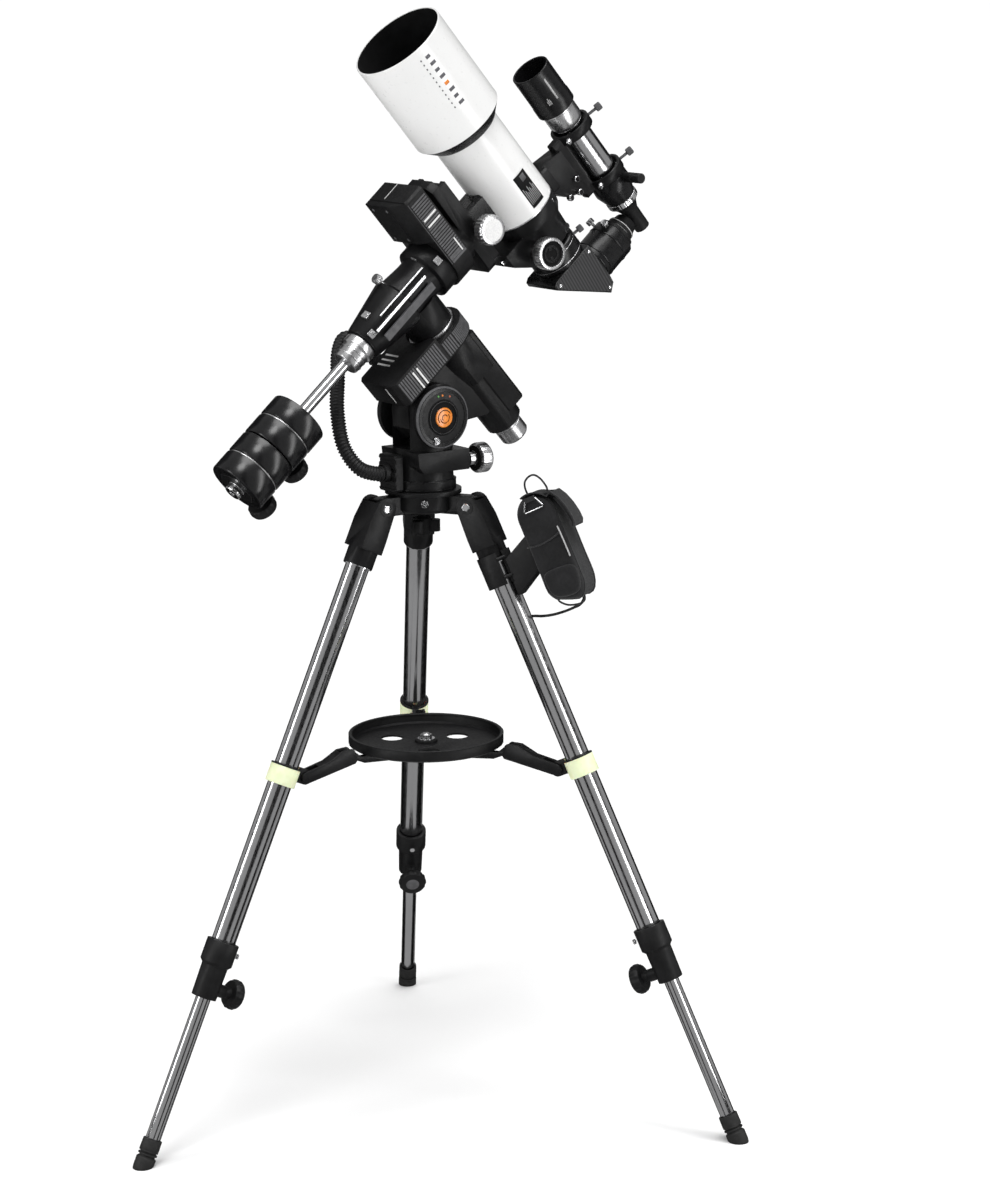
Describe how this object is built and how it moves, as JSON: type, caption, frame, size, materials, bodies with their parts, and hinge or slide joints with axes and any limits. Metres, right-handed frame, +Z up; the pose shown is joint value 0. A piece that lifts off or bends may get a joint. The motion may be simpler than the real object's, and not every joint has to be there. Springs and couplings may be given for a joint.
{
  "type": "refractor telescope",
  "caption": "Short white refractor with finder, mirror diagonal and eyepiece on a motor-driven German equatorial mount with counterweights and a round-legged field tripod with tray.",
  "frame": {"origin": "centre of the bounding box's footprint, at floor level under the tripod", "axes": "+Z up; -X is the side the telescope and the polar axis point to; +Y completes a right-handed frame"},
  "size_m": [0.8245, 0.7942, 1.4424],
  "materials": {
    "black_casting": "satin black powder coat",
    "black_aluminium": "black anodised",
    "black_plastic": "moulded, matt",
    "ribbed_plastic": "moulded, with grey side panel",
    "bare_aluminium": "brushed",
    "chromed_steel": "polished",
    "polished_steel": "polished tube",
    "white_enamel": "gloss white",
    "foot_rubber": "matt",
    "luminous_plastic": "pale yellow",
    "coated_glass": "coated",
    "pouch_fabric": "padded black cloth",
    "iron_weight": "gloss black",
    "cable_rubber": "black cable"
  },
  "bodies": {
    "hub": {"tripod_hub": "black_aluminium"},
    "spindle": {"spindle_knob": "black_plastic"},
    "leg_a": {"upper_leg_a": "polished_steel", "leg_clamp_a": "black_plastic", "spreader_collar_a": "luminous_plastic"},
    "lower_leg_a": {"lower_tube_a": "polished_steel", "foot_a": "foot_rubber"},
    "clamp_knob_a": {"clamp_knob_a": "black_plastic"},
    "leg_b": {"upper_leg_b": "polished_steel", "leg_clamp_b": "black_plastic", "spreader_collar_b": "luminous_plastic", "handset_bracket": "black_plastic", "handset_pouch": "pouch_fabric", "handset_cord": "cable_rubber", "cord_plug": "black_plastic"},
    "lower_leg_b": {"lower_tube_b": "polished_steel", "foot_b": "foot_rubber"},
    "clamp_knob_b": {"clamp_knob_b": "black_plastic"},
    "leg_c": {"upper_leg_c": "polished_steel", "leg_clamp_c": "black_plastic", "spreader_collar_c": "luminous_plastic"},
    "lower_leg_c": {"lower_tube_c": "polished_steel", "foot_c": "foot_rubber"},
    "clamp_knob_c": {"clamp_knob_c": "black_plastic"},
    "tray": {"tray": "black_plastic", "spreader_spider": "black_aluminium"},
    "arm_a": {"spreader_arm_a": "black_casting"},
    "arm_b": {"spreader_arm_b": "black_casting"},
    "arm_c": {"spreader_arm_c": "black_casting"},
    "azimuth": {"azimuth_head": "black_aluminium", "control_box": "black_plastic", "conduit": "black_plastic"},
    "latitude_knob": {"latitude_knob": "chromed_steel"},
    "polar": {"ra_housing": "black_aluminium", "ra_drive_cover": "ribbed_plastic"},
    "polar_cap": {"polar_cap": "bare_aluminium"},
    "ra": {"setting_ring": "bare_aluminium", "dec_housing": "black_aluminium", "dec_drive_cover": "ribbed_plastic"},
    "dec": {"shaft_lock_ring": "chromed_steel", "counterweight_shaft": "chromed_steel", "shaft_end_nut": "chromed_steel", "saddle": "black_aluminium", "dovetail_foot": "black_aluminium", "dew_shield": "white_enamel", "objective_lens": "coated_glass", "main_tube": "white_enamel", "focuser_body": "black_aluminium", "finder_bracket": "black_aluminium", "finder_scope": "black_aluminium"},
    "weight_1": {"counterweight_1": "iron_weight"},
    "weight_knob_1": {"weight_knob_1": "black_plastic"},
    "weight_2": {"counterweight_2": "iron_weight"},
    "weight_knob_2": {"weight_knob_2": "black_plastic"},
    "saddle_knob": {"saddle_knob": "bare_aluminium"},
    "draw": {"drawtube": "black_aluminium"},
    "pinion": {"focus_knobs": "bare_aluminium"},
    "diagonal": {"star_diagonal": "black_plastic", "eyepiece": "black_plastic"}
  },
  "joints": [
    {"name": "spindle_turn", "type": "hinge", "parent": "hub", "child": "spindle", "pos_m": [0.04425, 0, 0.78], "axis": [0, 0, 1], "continuous": true},
    {"name": "leg_a_fold", "type": "hinge", "parent": "hub", "child": "leg_a", "pos_m": [-0.02575, 0, 0.812], "axis": [0, -1, 0], "range_deg": [0, 7]},
    {"name": "leg_a_extend", "type": "slide", "parent": "leg_a", "child": "lower_leg_a", "axis": [-0.4178, 0, -0.9085], "range_m": [-0.19, 0.25]},
    {"name": "clamp_a_turn", "type": "hinge", "parent": "leg_a", "child": "clamp_knob_a", "pos_m": [-0.26635, 0, 0.20501], "axis": [0.9085, 0, -0.4178], "range_deg": [0, 360]},
    {"name": "leg_b_fold", "type": "hinge", "parent": "hub", "child": "leg_b", "pos_m": [0.07925, -0.06062, 0.812], "axis": [0.866, 0.5, 0], "range_deg": [0, 7]},
    {"name": "leg_b_extend", "type": "slide", "parent": "leg_b", "child": "lower_leg_b", "axis": [0.2089, -0.3618, -0.9085], "range_m": [-0.19, 0.25]},
    {"name": "clamp_b_turn", "type": "hinge", "parent": "leg_b", "child": "clamp_knob_b", "pos_m": [0.19955, -0.26899, 0.20501], "axis": [-0.4543, 0.7868, -0.4178], "range_deg": [0, 360]},
    {"name": "leg_c_fold", "type": "hinge", "parent": "hub", "child": "leg_c", "pos_m": [0.07925, 0.06062, 0.812], "axis": [-0.866, 0.5, 0], "range_deg": [0, 7]},
    {"name": "leg_c_extend", "type": "slide", "parent": "leg_c", "child": "lower_leg_c", "axis": [0.2089, 0.3618, -0.9085], "range_m": [-0.19, 0.25]},
    {"name": "clamp_c_turn", "type": "hinge", "parent": "leg_c", "child": "clamp_knob_c", "pos_m": [0.19955, 0.26899, 0.20501], "axis": [-0.4543, -0.7868, -0.4178], "range_deg": [0, 360]},
    {"name": "tray_lift", "type": "slide", "parent": "hub", "child": "tray", "axis": [0, 0, 1], "range_m": [0, 0.03404]},
    {"name": "arm_a_turn", "type": "hinge", "parent": "tray", "child": "arm_a", "pos_m": [-0.07975, 0, 0.491], "axis": [0, -1, 0], "range_deg": [0, 54.4]},
    {"name": "arm_b_turn", "type": "hinge", "parent": "tray", "child": "arm_b", "pos_m": [0.10625, -0.10739, 0.491], "axis": [0.866, 0.5, 0], "range_deg": [0, 54.4]},
    {"name": "arm_c_turn", "type": "hinge", "parent": "tray", "child": "arm_c", "pos_m": [0.10625, 0.10739, 0.491], "axis": [-0.866, 0.5, 0], "range_deg": [0, 54.4]},
    {"name": "azimuth_turn", "type": "hinge", "parent": "hub", "child": "azimuth", "pos_m": [0.04425, 0, 0.84], "axis": [0, 0, 1], "range_deg": [-15, 15]},
    {"name": "latitude_knob_turn", "type": "hinge", "parent": "azimuth", "child": "latitude_knob", "pos_m": [0.12925, 0, 0.8605], "axis": [1, 0, 0], "range_deg": [-360, 0]},
    {"name": "latitude", "type": "hinge", "parent": "azimuth", "child": "polar", "pos_m": [0.04425, 0, 0.9275], "axis": [0, 1, 0], "range_deg": [-20, 6]},
    {"name": "polar_cap_pull", "type": "slide", "parent": "polar", "child": "polar_cap", "axis": [0.6561, 0, -0.7547], "range_m": [0, 0.03]},
    {"name": "right_ascension", "type": "hinge", "parent": "polar", "child": "ra", "pos_m": [0.04204, 0, 1.05808], "axis": [-0.6561, 0, 0.7547], "range_deg": [-8, 90]},
    {"name": "declination", "type": "hinge", "parent": "ra", "child": "dec", "pos_m": [-0.00527, 0, 1.06068], "axis": [0.7547, 0, 0.6561], "continuous": true},
    {"name": "weight_1_slide", "type": "slide", "parent": "dec", "child": "weight_1", "axis": [0.7547, 0, 0.6561], "range_m": [0, 0.065]},
    {"name": "weight_knob_1_turn", "type": "hinge", "parent": "weight_1", "child": "weight_knob_1", "pos_m": [-0.14639, 0.0104, 0.8732], "axis": [0.6417, 0.2079, -0.7382], "range_deg": [0, 360]},
    {"name": "weight_2_slide", "type": "slide", "parent": "dec", "child": "weight_2", "axis": [0.7547, 0, 0.6561], "range_m": [0, 0.065]},
    {"name": "weight_knob_2_turn", "type": "hinge", "parent": "weight_2", "child": "weight_knob_2", "pos_m": [-0.19394, 0.0104, 0.83187], "axis": [0.6417, 0.2079, -0.7382], "range_deg": [0, 360]},
    {"name": "saddle_knob_turn", "type": "hinge", "parent": "dec", "child": "saddle_knob", "pos_m": [0.11322, -0.055, 1.16368], "axis": [0, -1, 0], "range_deg": [0, 360]},
    {"name": "draw_slide", "type": "slide", "parent": "dec", "child": "draw", "axis": [0.6561, 0, -0.7547], "range_m": [0, 0.045]},
    {"name": "focus_turn", "type": "hinge", "parent": "dec", "child": "pinion", "pos_m": [0.20708, 0, 1.12735], "axis": [0, 1, 0], "range_deg": [0, 475]},
    {"name": "diagonal_turn", "type": "hinge", "parent": "draw", "child": "diagonal", "pos_m": [0.26123, 0, 1.11612], "axis": [-0.6561, 0, 0.7547], "range_deg": [-90, 90]}
  ],
  "couplings": [
    {"joint": "leg_b_fold", "follows": "leg_a_fold", "ratio": 1},
    {"joint": "leg_c_fold", "follows": "leg_a_fold", "ratio": 1},
    {"joint": "tray_lift", "follows": "leg_a_fold", "m_per_rad": 0.27864},
    {"joint": "arm_a_turn", "follows": "leg_a_fold", "ratio": 7.7705},
    {"joint": "arm_b_turn", "follows": "leg_a_fold", "ratio": 7.7705},
    {"joint": "arm_c_turn", "follows": "leg_a_fold", "ratio": 7.7705},
    {"joint": "weight_2_slide", "follows": "weight_1_slide", "ratio": 1},
    {"joint": "focus_turn", "follows": "draw_slide", "rad_per_m": 181.82}
  ]
}
